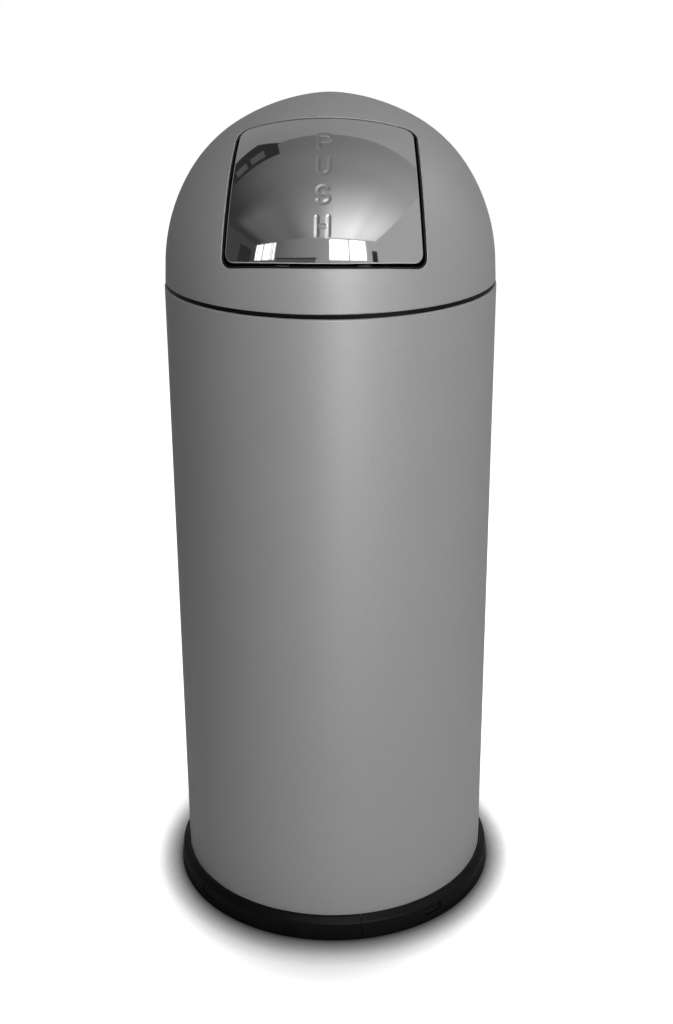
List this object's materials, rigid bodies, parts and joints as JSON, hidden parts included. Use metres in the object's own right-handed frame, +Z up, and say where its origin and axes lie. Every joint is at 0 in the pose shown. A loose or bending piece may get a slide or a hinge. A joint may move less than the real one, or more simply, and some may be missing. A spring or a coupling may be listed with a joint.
{
  "type": "dome top waste receptacle",
  "caption": "Tall round waste bin: coated steel body on a black base ring, lift-off dome with a sprung mirror-steel push flap, and a lift-out galvanised liner with a bail.",
  "frame": {"origin": "on the floor, under the middle of the round body", "axes": "+Z up; the push flap faces -Y; +X is on the right of a person facing the flap"},
  "size_m": [0.3788, 0.3788, 0.9179],
  "materials": {
    "coated_steel": "fine satin powder coat, mid grey",
    "mirror_steel": "mirror-polished stainless sheet",
    "black_plastic": "satin black moulded plastic",
    "black_rubber": "matt black rubber",
    "zinc_sheet": "spangled hot-dip zinc",
    "zinc_wire": "bright zinc plate",
    "spring_steel": "oiled spring steel",
    "nylon": "natural nylon"
  },
  "bodies": {
    "body": {"body_shell": "coated_steel", "base_plate": "zinc_sheet", "rim_collar": "black_plastic", "base_ring_left": "black_plastic", "base_ring_right": "black_plastic", "ring_splice_front": "black_plastic", "ring_splice_rear": "black_plastic", "ring_clip_1": "black_plastic", "ring_clip_2": "black_plastic", "ring_clip_3": "black_plastic", "ring_clip_4": "black_plastic", "base_rivet_1": "zinc_wire", "base_rivet_2": "zinc_wire", "base_rivet_3": "zinc_wire", "base_rivet_4": "zinc_wire"},
    "dome": {"dome_shell": "coated_steel", "opening_trim": "black_rubber", "hinge_rod": "zinc_wire", "hinge_bracket_left": "zinc_sheet", "rod_cap_left": "black_plastic", "hinge_spring_left": "spring_steel", "hinge_bracket_right": "zinc_sheet", "rod_cap_right": "black_plastic", "hinge_spring_right": "spring_steel", "bracket_nut_left_1": "zinc_wire", "bracket_nut_left_2": "zinc_wire", "bracket_nut_right_1": "zinc_wire", "bracket_nut_right_2": "zinc_wire"},
    "flap": {"flap_panel": "mirror_steel", "flap_frame": "zinc_sheet", "flap_nut_left_1": "zinc_wire", "flap_nut_left_2": "zinc_wire", "flap_nut_right_1": "zinc_wire", "flap_nut_right_2": "zinc_wire", "hinge_bush_left": "nylon", "flap_bumper_left": "black_rubber", "hinge_bush_right": "nylon", "flap_bumper_right": "black_rubber"},
    "liner": {"liner_wall": "zinc_sheet", "liner_base": "zinc_sheet", "ear_left": "zinc_sheet", "ear_right": "zinc_sheet", "ear_rivet_left_1": "zinc_wire", "ear_rivet_left_2": "zinc_wire", "ear_rivet_right_1": "zinc_wire", "ear_rivet_right_2": "zinc_wire"},
    "bail": {"bail_wire": "zinc_wire", "bail_grip": "black_plastic"}
  },
  "joints": [
    {"name": "dome_lift", "type": "slide", "parent": "body", "child": "dome", "axis": [0, 0, 1], "range_m": [0, 0.9]},
    {"name": "flap_swing", "type": "hinge", "parent": "dome", "child": "flap", "pos_m": [0, -0.0528, 0.88457], "axis": [1, 0, 0], "range_deg": [0, 70], "stiffness_Nm_per_rad": 0.2, "springref_deg": -137.51, "deforming": ["hinge_spring_left", "hinge_spring_right"]},
    {"name": "liner_lift", "type": "slide", "parent": "body", "child": "liner", "axis": [0, 0, 1], "range_m": [0, 0.675]},
    {"name": "bail_swing", "type": "hinge", "parent": "liner", "child": "bail", "pos_m": [0, 0, 0.7053], "axis": [1, 0, 0], "range_deg": [0, 90]}
  ],
  "couplings": [
    {"joint": "liner_lift", "follows": "dome_lift", "ratio": 0.75},
    {"joint": "bail_swing", "follows": "dome_lift", "rad_per_m": 1.745}
  ]
}
